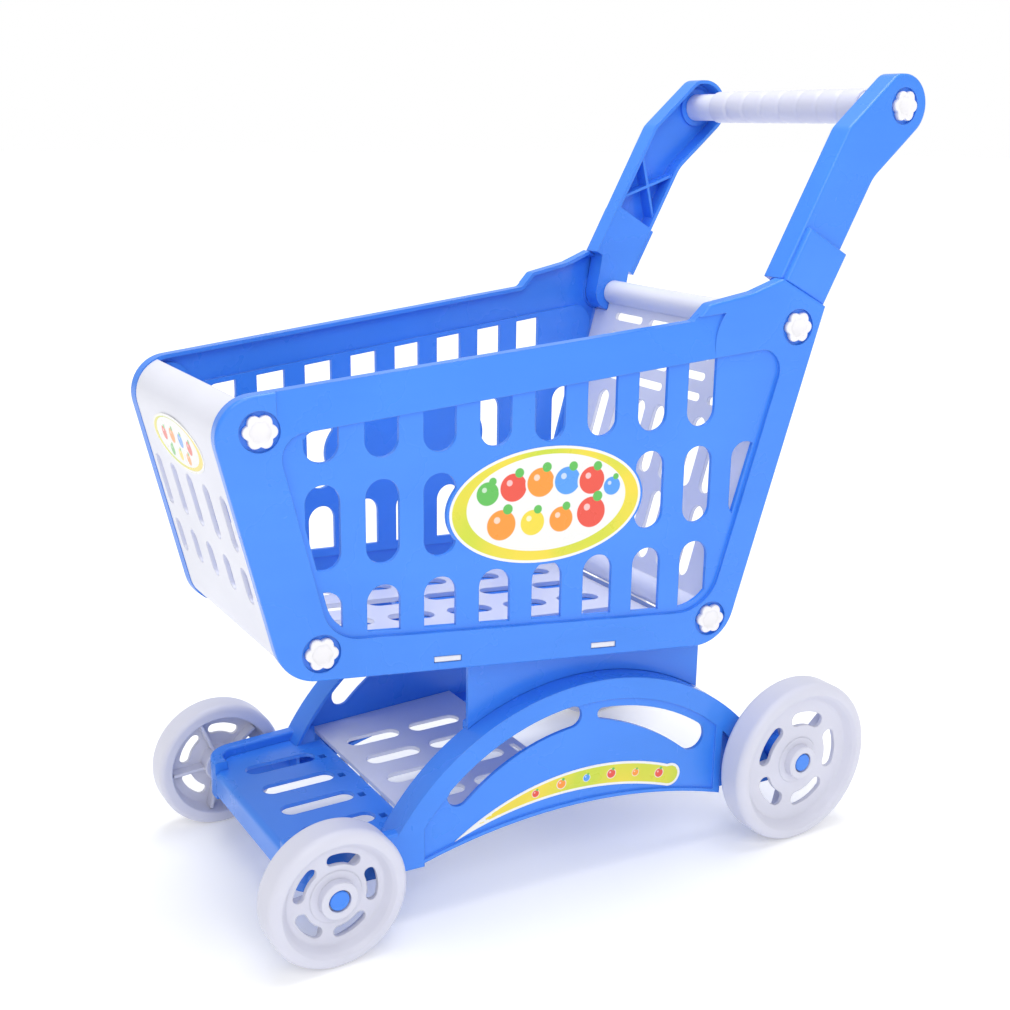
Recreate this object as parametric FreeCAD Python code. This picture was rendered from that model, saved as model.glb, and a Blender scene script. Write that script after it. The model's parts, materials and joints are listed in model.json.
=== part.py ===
import FreeCAD, Part
import math
import os

# A child's toy shopping cart: a tapered plastic basket on an arched four-wheel chassis.
# Frame: +Z up, +Y to the rear, +X to the cart's left. Lengths along the cart are taken from
# the front axle, and the whole cart is centred on the origin when it is written out.

# ---------------------------------------------------------------- driving dimensions, mm
# wheels
wheelbase = 307.0
front_wheel_r = 40.0
rear_wheel_r = 52.0
front_track_half = 100.5
rear_track_half = 119.5
wheel_width = 20.0
tyre_depth = 9.0
tyre_edge_r = 5.0
wheel_web = 2.6
wheel_dish = 7.0
wheel_hub_r = 10.7
wheel_slot_count = 5
wheel_slot_half_angle = 18.0
wheel_slot_turn = -14.0
wheel_ring_r = 15.0
wheel_ring = 0.8
front_wheel_slot = 6.5
rear_wheel_slot = 9.0
wheel_rib = 2.0

# axle pins
pin_r = 4.0
pin_head_r = 5.6
pin_head = 2.5
pin_grip = 38.0
running_gap = 0.06
end_play = 0.3
seat_gap = 0.02

# basket sides, seen from the side
base_front_z = 154.8
base_fall = 0.077
rim_front_z = 309.6
rim_rise = 0.0927
front_foot = 20.6
front_lean = 0.2370
rear_foot = 215.0
rear_lean = 0.2906
front_top_r = 21.0
front_bottom_r = 24.0
rear_bottom_r = 25.0
rim_step_y = 223.0
rim_step_rise = 9.0
gusset_y = 260.3
gusset_z = 344.7
rim_slope_depth = 1.5
rim_slope_front = -16.0
rim_slope_rear = 238.0
# basket sides, seen from above
basket_half = 74.5
basket_taper = 5.4
# side wall make-up
skin = 2.5
side_flange = 8.0
flange_wall = 2.4
field_depth = 2.0
field_front = 30.0
field_top = 22.5
field_rear = 19.0
field_base = 22.0
field_front_r = 13.0
field_front_low_r = 22.0
field_rear_r = 13.0
field_rear_low_r = 26.0
outer_edge_r = 1.6

# slots in the basket sides
slot_first_y = 6.6
slot_pitch = 32.0
slot_count = 9
slot_width = 18.5
slot_edge = 3.0
top_row_low = 270.3
mid_row_high = 258.9
mid_row_low = 213.7
low_row_high = 202.2
badge_y = 134.1
badge_z = 235.0
badge_half_length = 58.5
badge_half_height = 32.5

# hand screws
screw_r = 3.0
screw_hole_r = 3.1
screw_head_r = 8.9
screw_head = 3.4
screw_recess_r = 10.4
boss_r = 6.0
front_screw_inset = 23.3
rear_screw_inset = 16.0
front_top_screw_z = 289.1
front_low_screw_z = 169.8
rear_top_screw_z = 323.8
rear_low_screw_z = 153.2

# front and back panels, basket floor
panel_wall = 2.4
panel_inset = 1.2
side_gap = 0.3
front_curl_y = -32.0
front_hem_z = 167.0
cheek_reach = 14.0
cheek_drop = 15.0
front_slot_pitch = 26.0
front_slot_width = 9.5
front_upper_slot = (224.0, 254.0)
front_lower_slot = (195.0, 215.0)
front_badge_z = 271.0
front_badge_half_length = 40.0
front_badge_half_height = 15.0
back_tube_r = 8.0
back_plate = 2.6
back_reach = 5.0
slit_rows = 4
slit_pitch = 13.0
slit_height = 5.0
slit_length = 30.0
slit_columns = 4
grille_slot_width = 11.0
grille_columns = 7
floor_lift = 5.0
floor_plate = 3.0
floor_front_gap = 1.6
tab_y = (74.3, 171.0)
tab_length = 15.5
tab_gap = 0.3

# handle
arm_stand_off = 23.1
arm_outer_x = basket_half + arm_stand_off
arm_depth = 14.0
arm_width = 33.0
arm_wall = 2.3
arm_foot_y = 294.5
arm_foot_z = 343.9
arm_tilt = 28.5
arm_lower = 80.0
arm_shoulder = 94.0
arm_shoulder_r = 12.0
arm_bend_r = 22.0
arm_cap_r = 18.0
handle_y = 367.0
handle_z = 447.1
collar_length = 33.0
collar_step = 3.4
collar_rear = 3.0
tongue_r = 12.0
bar_r = 8.8
bar_wall = 2.4
bar_plug = 20.0
grip_r = 10.2
grip_half = 68.0
grip_groove = 5.0
grip_groove_depth = 0.8
grip_groove_count = 7

# chassis
chassis_half = 76.0
chassis_taper = 4.1
chassis_skin = 3.9
chassis_depth = 18.0
chassis_flange = 2.3
chassis_base_z = 33.0
rail_top_z = 57.0
rail_width = 8.0
rail_wall = 2.2
nose_y = 14.0
nose_corner_r = 18.0
arch_front_y = 45.0
arch_rear_gap = 11.0
arch_rise = 70.5
arch_band = 13.0
arch_recess = 1.5
under_arch_front_y = 53.0
under_arch_rear_gap = 46.0
under_arch_rise = 16.0
arch_field_base = 2.0
arch_wall_y = 41.0
wheel_pocket = 7.0
axle_lug_r = 18.0
axle_boss_r = 8.5
front_boss_r = 7.0
front_boss_length = 17.0
rear_boss_length = 28.0
boss_gap = 0.6
arc_slot_width = 14.0
arc_slot_drop = 12.0
arc_slot_angles = (97.0, 133.0)
fin_drop = 18.0
fin_angles = (54.5, 87.5)
fin_depths = (18.0, 14.0, 7.0)

# front deck, tray and pedestal
deck_top_z = 51.5
deck_plate = 2.4
apron_half = 52.0
deck_slot_x = (-43.0, -14.3, 14.3, 43.0)
deck_slot_width = 12.5
deck_slot_y = (2.0, 47.0)
deck_end_y = 60.0
hook_hole = (5.0, 4.0)
hook_socket_wall = 1.6
hook_socket_depth = 6.0
tray_clip = (7.0, 5.0, 2.0)
tray_z = 52.0
tray_plate = 2.4
tray_end_y = 166.0
tray_slot_y = ((70.0, 106.0), (114.0, 150.0))
tray_vent = (11.0, 4.0)
pedestal_y = (93.0, 249.0)
pedestal_wall = 2.4
pedestal_inset = 14.0
pedestal_skirt = 12.0
fit_gap = 0.2

# printed labels
label = 0.3
crescent_points = (
    (79.0, 43.0), (163.0, 71.0), (222.0, 60.5), (231.0, 52.5), (222.0, 46.0), (155.0, 57.5))

X = FreeCAD.Vector(1, 0, 0)
Y = FreeCAD.Vector(0, 1, 0)
Z = FreeCAD.Vector(0, 0, 1)
ORIGIN = FreeCAD.Vector(0, 0, 0)
FAR = 400.0


# ---------------------------------------------------------------- shape helpers
def side_point(y, z):
    """A point of a side view."""
    return FreeCAD.Vector(0, y, z)


def front_point(x, z):
    """A point of a front view, or of a half section turned about the X axis."""
    return FreeCAD.Vector(x, 0, z)


def plan_point(x, y):
    """A point of a view from above."""
    return FreeCAD.Vector(x, y, 0)


def rounded(corners, point):
    """A flat face with straight sides, where each corner is (a, b, radius)."""
    spots = [point(a, b) for a, b, _ in corners]
    edges = []
    ends = []
    for i, (_, _, radius) in enumerate(corners):
        corner = spots[i]
        before = (spots[i - 1] - corner).normalize()
        after = (spots[(i + 1) % len(spots)] - corner).normalize()
        if radius <= 0:
            ends.append((corner, corner))
            continue
        half = before.getAngle(after) / 2
        run = radius / math.tan(half)
        start = corner + before * run
        stop = corner + after * run
        middle = corner + (before + after).normalize() * (radius / math.sin(half) - radius)
        edges.append((i, Part.Arc(start, middle, stop).toShape()))
        ends.append((start, stop))
    arcs = dict(edges)
    loop = []
    for i in range(len(corners)):
        if i in arcs:
            loop.append(arcs[i])
        here = ends[i][1]
        there = ends[(i + 1) % len(corners)][0]
        if here.distanceToPoint(there) > 1e-6:
            loop.append(Part.makeLine(here, there))
    return Part.Face(Part.Wire(loop))


def arcs_face(points, point):
    """A flat face bounded by arcs: every second point is where two arcs meet."""
    spots = [point(a, b) for a, b in points]
    edges = []
    for i in range(0, len(spots), 2):
        end = spots[(i + 2) % len(spots)]
        edges.append(Part.Arc(spots[i], spots[i + 1], end).toShape())
    return Part.Face(Part.Wire(edges))


def slab(face, low, high, along=X):
    """A solid between two heights along one axis."""
    solid = face.extrude(along * (high - low))
    solid.translate(along * low)
    return solid


def rod(radius, low, high, y=0.0, z=0.0):
    """A cylinder along X."""
    return Part.makeCylinder(radius, high - low, FreeCAD.Vector(low, y, z), X)


def fuse(shapes):
    return shapes[0].multiFuse(shapes[1:]).removeSplitter()


def cut(shape, tools):
    return shape.cut(Part.makeCompound(tools))


def mirrored(shape):
    return shape.mirror(ORIGIN, X)


def both_sides(shape):
    return [shape, mirrored(shape)]


def ellipse_face(y, z, half_length, half_height):
    """An upright oval in a side view."""
    oval = Part.Ellipse(side_point(y + half_length, z), side_point(y, z + half_height), side_point(y, z))
    return Part.Face(Part.Wire(oval.toShape()))


def stadium(centre, low, high, width, point):
    """A slot with two round ends that stands upright in its view."""
    half = width / 2
    r = half - 0.01
    return rounded([(centre - half, low, r), (centre + half, low, r),
                    (centre + half, high, r), (centre - half, high, r)], point)


def ring_slot(centre_y, centre_z, outer_r, inner, angles):
    """A slot that bends round a centre, with its inner radius at start, middle and end."""
    start, end = [math.radians(a) for a in angles]
    middle = (start + end) / 2

    def at(radius, angle):
        return (centre_y + radius * math.cos(angle), centre_z + radius * math.sin(angle))

    def cap(angle, inner_r, sense):
        half = (outer_r - inner_r) / 2
        y, z = at(outer_r - half, angle)
        return (y - sense * half * math.sin(angle), z + sense * half * math.cos(angle))

    return arcs_face([at(outer_r, start), at(outer_r, middle), at(outer_r, end), cap(end, inner[2], 1),
                      at(inner[2], end), at(inner[1], middle), at(inner[0], start),
                      cap(start, inner[0], -1)], side_point)


def place(shape, half, taper):
    """Turns a part built against the plane x = 0 into the tapered left side of the cart."""
    placed = shape.copy()
    placed.rotate(ORIGIN, Z, -taper)
    placed.translate(X * half)
    return placed


def inner_space(half, taper, depth):
    """All the room between the two sides, down to a depth below their outer faces."""
    slope = math.tan(math.radians(taper))
    near = half - depth / math.cos(math.radians(taper))
    corners = [(-near + slope * FAR, -FAR, 0), (near - slope * FAR, -FAR, 0),
               (near + slope * FAR, FAR, 0), (-near - slope * FAR, FAR, 0)]
    return slab(rounded(corners, plan_point), -FAR, 2 * FAR, Z)


# ---------------------------------------------------------------- basket geometry
def base_z(y):
    return base_front_z - base_fall * y


def rim_z(y):
    return rim_front_z + rim_rise * y


def front_y(z):
    """The front edge of a basket side at a height."""
    return front_foot - front_lean * z


def rear_y(z):
    """The rear edge of a basket side at a height."""
    return rear_foot + rear_lean * z


def crossing(foot, lean, level, slope):
    """Where y = foot + lean * z meets z = level + slope * y."""
    z = (level + slope * foot) / (1 - slope * lean)
    return (foot + lean * z, z)


def side_quad(front, top, rear, base):
    """The four corners of the basket side, drawn in from each edge."""
    low_front = crossing(front_foot + front, -front_lean, base_front_z + base, -base_fall)
    low_rear = crossing(rear_foot - rear, rear_lean, base_front_z + base, -base_fall)
    high_rear = crossing(rear_foot - rear, rear_lean, rim_front_z - top, rim_rise)
    high_front = crossing(front_foot + front, -front_lean, rim_front_z - top, rim_rise)
    return low_front, low_rear, high_rear, high_front


def in_side(y):
    """A length along the cart, measured along the tapered side instead."""
    return y / math.cos(math.radians(basket_taper))


arm_dir = FreeCAD.Vector(0, math.sin(math.radians(arm_tilt)), math.cos(math.radians(arm_tilt)))
arm_across = FreeCAD.Vector(0, arm_dir.z, -arm_dir.y)
arm_foot = side_point(arm_foot_y, arm_foot_z)
arm_elbow = arm_foot + arm_dir * arm_lower
arm_top = side_point(handle_y, handle_z)


def side_outline():
    """The outline of a basket side, up to the seam where the handle arm starts."""
    low_front, low_rear, _, high_front = side_quad(0, 0, 0, 0)
    seam_front = arm_foot - arm_across * (arm_width / 2)
    seam_slope = arm_across.z / arm_across.y
    seam_rear = crossing(rear_foot, rear_lean, arm_foot_z - seam_slope * in_side(arm_foot_y), seam_slope)
    step_low = (rim_step_y, rim_z(rim_step_y))
    step_high = (rim_step_y + rim_step_rise, step_low[1] + rim_step_rise)
    return rounded([
        low_front + (front_bottom_r,), low_rear + (rear_bottom_r,), seam_rear + (0.0,),
        (in_side(seam_front.y), seam_front.z, 0.0), (in_side(gusset_y), gusset_z, 12.0),
        step_high + (4.0,), step_low + (4.0,), high_front + (front_top_r,)], side_point)


def field_outline(grow=0.0):
    """The recessed area that holds the slots, or the same area drawn in by -grow."""
    low_front, low_rear, high_rear, high_front = side_quad(
        field_front - grow, field_top - grow, field_rear - grow, field_base - grow)
    return rounded([low_front + (field_front_low_r,), low_rear + (field_rear_low_r,),
                    high_rear + (field_rear_r,), high_front + (field_front_r,)], side_point)


def screw_spots():
    """Side-view places of the four corner screws of a basket side."""
    return {
        "front_top": (front_y(front_top_screw_z) + front_screw_inset, front_top_screw_z),
        "front_bottom": (front_y(front_low_screw_z) + front_screw_inset, front_low_screw_z),
        "rear_top": (rear_y(rear_top_screw_z) - rear_screw_inset, rear_top_screw_z),
        "rear_bottom": (rear_y(rear_low_screw_z) - rear_screw_inset, rear_low_screw_z)}


def on_side(y, z, depth):
    """The point at a depth below the outer face of the left basket side."""
    turn = math.radians(basket_taper)
    return FreeCAD.Vector(basket_half + y * math.sin(turn) - depth * math.cos(turn),
                          y * math.cos(turn) + depth * math.sin(turn), z)


def slot_openings():
    """Everything cut through the slotted field of a basket side."""
    half = slot_width / 2
    columns = [slot_first_y + slot_pitch * i for i in range(slot_count)]
    top = [stadium(y, top_row_low, FAR, slot_width, side_point) for y in columns]
    middle = [stadium(y, mid_row_low, mid_row_high, slot_width, side_point) for y in columns]
    low = [stadium(y, 0.0, low_row_high, slot_width, side_point) for y in columns[:-1]]
    window = slab(field_outline(-slot_edge), -side_flange, 1.0)
    upper_window = window.fuse(slab(rounded([
        (columns[0] - half, rim_z(columns[0]) - field_top - 14.0, 0),
        (columns[-1] + half, rim_z(columns[-1]) - field_top - 14.0, 0),
        (columns[-1] + half, rim_z(columns[-1] + half) - field_top - 0.6, field_rear_r),
        (columns[0] - half, rim_z(columns[0] - half) - field_top - 0.6, field_front_r / 2)],
        side_point), -side_flange, 1.0))
    badge = slab(ellipse_face(badge_y, badge_z, badge_half_length + 1.5, badge_half_height + 1.5),
                 -side_flange, 1.0)
    solids = []
    for face in top:
        solids.append(slab(face, -side_flange, 1.0).common(upper_window))
    for face in middle + low:
        solids.append(slab(face, -side_flange, 1.0).common(window).cut(badge))
    return [s for s in solids if s.Volume > 1.0]


def rim_slope():
    """The wedge cut from the outer face, so that the border under the rim leans inwards."""
    low = crossing(0.0, 0.0, rim_front_z - field_top, rim_rise)[1]
    high = low + field_top + 2.0
    depth = rim_slope_depth * (field_top + 2.0) / field_top
    wedge = rounded([(1.0, low, 0), (0.0, low, 0), (-depth, high, 0), (1.0, high, 0)], front_point)
    run = rim_slope_rear - rim_slope_front
    wedge = slab(wedge, rim_slope_front - 20.0, rim_slope_rear + 40.0, Y)
    wedge.rotate(FreeCAD.Vector(0, 0, low), X, math.degrees(math.atan(rim_rise)))
    ends = [rod(field_top * 1.3, -5.0, 2.0, rim_slope_rear + 1.25 * field_top, low + rim_rise * run + 6.0),
            slab(rounded([(rim_slope_rear + field_top, 0, 0), (FAR, 0, 0), (FAR, FAR, 0),
                          (rim_slope_rear + field_top, FAR, 0)], side_point), -5.0, 2.0),
            slab(rounded([(-FAR, 0, 0), (rim_slope_front, 0, 0), (rim_slope_front, FAR, 0),
                          (-FAR, FAR, 0)], side_point), -5.0, 2.0)]
    return cut(wedge, ends)


def floor_tab_window(y, gap):
    """The place of a floor tab in the lower border of a side."""
    half = tab_length / 2 + gap
    low = floor_lift - gap
    high = floor_lift + floor_plate + gap
    return rounded([(y - half, base_z(y - half) + low, 0), (y + half, base_z(y + half) + low, 0),
                    (y + half, base_z(y + half) + high, 0), (y - half, base_z(y - half) + high, 0)],
                   side_point)


# ---------------------------------------------------------------- basket parts
def side_panel():
    outline = side_outline()
    rim = outline.cut(outline.makeOffset2D(-flange_wall))
    shell = slab(outline, -skin, 0.0).fuse(slab(rim, -side_flange, 0.0)).removeSplitter()
    face_edges = [e for e in shell.Edges if all(abs(v.X) < 1e-6 for v in e.Vertexes)]
    shell = shell.makeFillet(outer_edge_r, face_edges)
    backing = slab(field_outline(flange_wall), -skin - field_depth, -skin)
    seats = []
    holes = [slab(field_outline(), -field_depth, 1.0)] + slot_openings()
    for y, z in screw_spots().values():
        seats.append(rod(screw_recess_r + flange_wall, -skin - field_depth, -skin, y, z))
        holes.append(rod(screw_recess_r, -field_depth, 1.0, y, z))
        holes.append(rod(screw_hole_r, -side_flange, 1.0, y, z))
    seats = [s.common(slab(outline, -side_flange, 0.0)) for s in seats]
    holes.append(rim_slope())
    holes += [slab(floor_tab_window(y, tab_gap), -side_flange, 1.0) for y in tab_y]
    panel = place(cut(fuse([shell, backing] + seats), holes), basket_half, basket_taper)
    above_seam = strip(arm_foot - arm_dir * side_gap, arm_elbow, arm_width / 2 + 4.0, 0.0, FAR)
    return cut(panel, [arm_tongue(side_gap), above_seam]).removeSplitter()


def corner_boss(name, start, length):
    """A screw boss that reaches inwards from the left basket side."""
    y, z = screw_spots()[name]
    return place(rod(boss_r, -start - length, -start, y, z), basket_half, basket_taper)


def screw_bore(name):
    y, z = screw_spots()[name]
    return place(rod(screw_hole_r, -FAR / 6, 1.0, y, z), basket_half, basket_taper)


def front_panel():
    outer = side_outline().makeOffset2D(-panel_inset)
    inner = outer.makeOffset2D(-panel_wall)
    top_y, top_z = screw_spots()["front_top"]
    low_y, low_z = screw_spots()["front_bottom"]
    shell_room = rounded([(-FAR, front_hem_z, 0), (front_curl_y + 20.0, front_hem_z, 0),
                          (front_curl_y + 20.0, top_z, 0), (front_curl_y, top_z, 0),
                          (front_curl_y, FAR, 0), (-FAR, FAR, 0)], side_point)
    shell = slab(outer.cut(inner).common(shell_room), -FAR, FAR)
    shell = shell.common(inner_space(basket_half, basket_taper, side_flange + side_gap))
    cheek_y = top_y + cheek_reach
    foot_y = low_y + boss_r
    floor_top = base_z(0.0) + floor_lift + floor_plate + 2 * fit_gap
    cheek_room = rounded([(-FAR, floor_top, 0), (foot_y, floor_top, 0), (foot_y, low_z + boss_r, 0),
                          (cheek_y, low_z + 2 * boss_r, 0), (cheek_y, top_z - cheek_drop / 2, 0),
                          (front_curl_y, top_z + cheek_drop, 0), (-FAR, top_z + cheek_drop, 0)],
                         side_point)
    cheek = slab(outer.common(cheek_room), -side_flange - side_gap - panel_wall, -side_flange - side_gap)
    solids = [shell] + both_sides(place(cheek, basket_half, basket_taper))
    for name in ("front_top", "front_bottom"):
        solids += both_sides(corner_boss(name, skin + field_depth + fit_gap, 22.0))
    openings = []
    for low, high in (front_upper_slot, front_lower_slot):
        for i in range(-2, 3):
            face = stadium(i * front_slot_pitch, low, high, front_slot_width, front_point)
            openings.append(slab(face, -FAR, cheek_y, Y))
    for name in ("front_top", "front_bottom"):
        openings += both_sides(screw_bore(name))
    return cut(fuse(solids), openings).removeSplitter()


def back_axis(name, depth):
    """Where the screw of one corner meets the middle of the back panel's tube."""
    y, z = screw_spots()[name]
    spot = on_side(y, z, depth)
    return spot.y, spot.z


def back_panel():
    top_y, top_z = back_axis("rear_top", 28.0)
    low_y, low_z = back_axis("rear_bottom", 16.0)
    height = math.hypot(top_y - low_y, top_z - low_z)
    lean = math.degrees(math.atan2(top_y - low_y, top_z - low_z))
    face = rounded([(-FAR, 0, 0), (FAR, 0, 0), (FAR, height, 0), (-FAR, height, 0)], front_point)
    plate = slab(face, -back_plate / 2, back_plate / 2, Y)
    openings = []
    first = height - back_tube_r - slit_pitch / 2 - 1.0
    span = slit_length + 8.0
    for row in range(slit_rows):
        z = first - row * slit_pitch
        for i in range(slit_columns):
            x = (i - (slit_columns - 1) / 2) * span
            slit = rounded([(x - slit_length / 2, z - slit_height / 2, 2.4),
                            (x + slit_length / 2, z - slit_height / 2, 2.4),
                            (x + slit_length / 2, z + slit_height / 2, 2.4),
                            (x - slit_length / 2, z + slit_height / 2, 2.4)], front_point)
            openings.append(slab(slit, -back_plate, back_plate, Y))
    grille_top = first - slit_rows * slit_pitch + 2.0
    grille_low = back_tube_r + 8.0
    middle = (grille_top + grille_low) / 2
    for i in range(grille_columns):
        x = (i - (grille_columns - 1) / 2) * grille_slot_width * 1.85
        for low, high in ((grille_low, middle - 4.0), (middle + 4.0, grille_top)):
            openings.append(slab(stadium(x, low, high, grille_slot_width, front_point),
                                 -back_plate, back_plate, Y))
    plate = cut(plate, openings)
    plate.rotate(ORIGIN, X, -lean)
    plate.translate(side_point(low_y, low_z))
    plate = plate.common(inner_space(basket_half, basket_taper, back_reach))
    tube_half = arm_outer_x - arm_depth - side_gap
    tubes = [rod(back_tube_r, -tube_half, tube_half, top_y, top_z),
             rod(back_tube_r, -FAR, FAR, low_y, low_z).common(
                 inner_space(basket_half, basket_taper, back_reach))]
    hollow_half = tube_half - 24.0
    hollow = [rod(back_tube_r - panel_wall, -hollow_half, hollow_half, y, z)
              for y, z in ((top_y, top_z), (low_y, low_z))]
    holes = hollow + both_sides(screw_bore("rear_top")) + both_sides(screw_bore("rear_bottom"))
    holes += both_sides(arm_tongue(side_gap))
    return cut(fuse([plate] + tubes), holes).removeSplitter()


def basket_floor():
    rear = back_axis("rear_bottom", 16.0)[0] - back_tube_r - side_gap
    front = screw_spots()["front_bottom"][0]
    nose = front_y(base_front_z) + panel_inset + panel_wall + floor_front_gap

    def plank(start, end):
        return slab(rounded([(start, base_z(start) + floor_lift, 0), (end, base_z(end) + floor_lift, 0),
                             (end, base_z(end) + floor_lift + floor_plate, 0),
                             (start, base_z(start) + floor_lift + floor_plate, 0)], side_point), -FAR, FAR)

    main = plank(front, rear).common(inner_space(basket_half, basket_taper, skin + field_depth + side_gap))
    reach = side_flange + 2 * side_gap + panel_wall
    tongue = plank(nose, front + 1.0).common(inner_space(basket_half, basket_taper, reach))
    tabs = []
    for y in tab_y:
        tab = slab(floor_tab_window(y, 0.0), -skin - field_depth - 2.0, -side_gap)
        tabs += both_sides(place(tab, basket_half, basket_taper))
    openings = []
    rows = 5
    run = (rear - front - 36.0) / rows
    for row in range(rows):
        y = front + 24.0 + run * row
        for x in deck_slot_x:
            face = stadium(x, y + 5.0, y + run - 5.0, deck_slot_width, plan_point)
            openings.append(slab(face, 0.0, FAR, Z))
    return cut(fuse([main, tongue] + tabs), openings).removeSplitter()


# ---------------------------------------------------------------- handle
def strip(start, end, half, low, high):
    """A straight bar of the handle arm between two side-view points."""
    along = (end - start).normalize()
    across = FreeCAD.Vector(0, along.z, -along.y) * half
    wire = Part.makePolygon([start - across, end - across, end + across, start + across, start - across])
    return slab(Part.Face(wire), low, high)


def tangent_corner(start, sense):
    """Where a line from a point past the round end of the arm meets the line along its top."""
    to_bar = arm_top - start
    swing = sense * math.asin(arm_cap_r / to_bar.Length)
    angle = math.atan2(to_bar.z, to_bar.y) + swing
    top_z = handle_z + arm_cap_r
    return (start.y + (top_z - start.z) / math.tan(angle), top_z)


def arm_outline():
    """The outline of a handle arm, from the seam at its foot to the round end at the bar."""
    half = arm_across * (arm_width / 2)
    front = arm_foot - half + arm_dir * arm_shoulder
    rear = arm_elbow + half
    return rounded([
        (arm_foot.y + half.y, arm_foot.z + half.z, 0), (arm_foot.y - half.y, arm_foot.z - half.z, 0),
        (front.y, front.z, arm_shoulder_r), tangent_corner(front, 1) + (arm_cap_r * 0.6,),
        tangent_corner(rear, -1) + (arm_cap_r,), (rear.y, rear.z, arm_bend_r)], side_point)


def arm_tongue(grow=0.0):
    """The tongue of the left arm that goes down behind the basket side to the rear top screw."""
    y, z = screw_spots()["rear_top"]
    spot = on_side(y, z, basket_half + (y * math.sin(math.radians(basket_taper))) - arm_outer_x)
    end = side_point(spot.y, z)
    low = arm_outer_x - arm_depth - grow
    high = arm_outer_x - 1.0 + grow
    start = arm_foot + arm_dir * 4.0
    return fuse([strip(start, end, tongue_r + grow, low, high),
                 rod(tongue_r + grow, low, high, end.y, end.z)])


def handle_arm():
    inner_x = arm_outer_x - arm_depth
    outline = arm_outline()
    shell = slab(outline, inner_x, arm_outer_x)
    rim_edges = [e for e in shell.Edges if all(abs(v.X - arm_outer_x) < 1e-6 for v in e.Vertexes)]
    shell = shell.makeFillet(outer_edge_r, rim_edges)
    hollow_face = outline.makeOffset2D(-arm_wall)
    collar_end = arm_foot + arm_dir * collar_length
    above = strip(collar_end + arm_dir, arm_top + arm_dir * FAR, FAR, 0.0, FAR)
    hollow = slab(hollow_face, inner_x - 1.0, arm_outer_x - arm_wall)
    shift = arm_across * (collar_rear / 2 + 1.0)
    collar = strip(arm_foot + shift, collar_end + shift, (arm_width + collar_rear) / 2 - 1.0,
                   inner_x + 1.0, arm_outer_x + collar_step)
    collar_edges = [e for e in collar.Edges if all(abs(v.X - arm_outer_x - collar_step) < 1e-6
                                                   for v in e.Vertexes)]
    collar = collar.makeFillet(outer_edge_r, collar_edges)
    rib_start = arm_foot + arm_dir * (collar_length + 8.0)
    rib_end = rib_start + arm_dir * arm_width
    half_span = arm_across * (arm_width / 2 - 1.0)
    ribs = [strip(rib_start - half_span, rib_end + half_span, 0.9, inner_x + 2.0, arm_outer_x - 1.0),
            strip(rib_start + half_span, rib_end - half_span, 0.9, inner_x + 2.0, arm_outer_x - 1.0),
            strip(collar_end - half_span, collar_end + half_span, 0.9, inner_x + 2.0, arm_outer_x - 1.0)]
    seat = rod(screw_recess_r + 2.0, arm_outer_x - arm_wall - 2.0, arm_outer_x - 1.0, handle_y, handle_z)
    body = fuse([shell.cut(hollow.common(above)), collar, seat, arm_tongue()] + ribs)
    holes = [rod(screw_recess_r, arm_outer_x - 1.8, FAR, handle_y, handle_z),
             rod(screw_hole_r, 0.0, FAR, handle_y, handle_z), screw_bore("rear_top")]
    return cut(body, holes).removeSplitter()


def handle_bar():
    end = arm_outer_x - arm_wall - 2.0 - fit_gap
    bar = rod(bar_r, -end, end, handle_y, handle_z)
    hollow = rod(bar_r - bar_wall, -end + bar_plug, end - bar_plug, handle_y, handle_z)
    pilots = both_sides(rod(screw_hole_r, end - bar_plug - 1.0, end + 1.0, handle_y, handle_z))
    return cut(bar, [hollow] + pilots)


def handle_grip():
    sleeve = rod(grip_r, -grip_half, grip_half, handle_y, handle_z)
    end_edges = [e for e in sleeve.Edges if all(abs(abs(v.X) - grip_half) < 1e-6 for v in e.Vertexes)]
    sleeve = sleeve.makeFillet(1.0, [e for e in end_edges if e.Length > 2.0 * math.pi])
    sleeve = sleeve.cut(rod(bar_r + seat_gap, -FAR, FAR, handle_y, handle_z))
    pitch = 2 * grip_half / (grip_groove_count + 1)
    grooves = []
    for i in range(grip_groove_count):
        x = -grip_half + pitch * (i + 1)
        ring = rod(grip_r + 1.0, x - grip_groove / 2, x + grip_groove / 2, handle_y, handle_z)
        grooves.append(ring.cut(rod(grip_r - grip_groove_depth, -FAR, FAR, handle_y, handle_z)))
    return cut(sleeve, grooves)


def hand_screw(length):
    """A screw along X with a six-lobed head, its seat at x = 0 and its shank towards -X."""
    lobe_r = screw_head_r * 0.33
    reach = screw_head_r - lobe_r
    lobes = [rod(lobe_r, 0.0, screw_head, reach * math.cos(math.radians(60 * i + 30)),
                 reach * math.sin(math.radians(60 * i + 30))) for i in range(6)]
    head = fuse([rod(screw_head_r * 0.84, 0.0, screw_head)] + lobes)
    face_edges = [e for e in head.Edges if all(abs(v.X - screw_head) < 1e-6 for v in e.Vertexes)]
    head = head.makeFillet(0.7, face_edges)
    dimple = Part.makeSphere(6.0, FreeCAD.Vector(screw_head + 5.0, 0, 0))
    shank = rod(screw_r, -length, 0.5)
    return fuse([head.cut(dimple), shank])


def corner_screw(name, length):
    y, z = screw_spots()[name]
    screw = hand_screw(length)
    screw.translate(FreeCAD.Vector(-field_depth + seat_gap, y, z))
    return Part.makeCompound(both_sides(place(screw, basket_half, basket_taper)))


def handle_screws():
    screw = hand_screw(18.0)
    screw.translate(FreeCAD.Vector(arm_outer_x - 1.8 + seat_gap, handle_y, handle_z))
    return Part.makeCompound(both_sides(screw))


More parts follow.
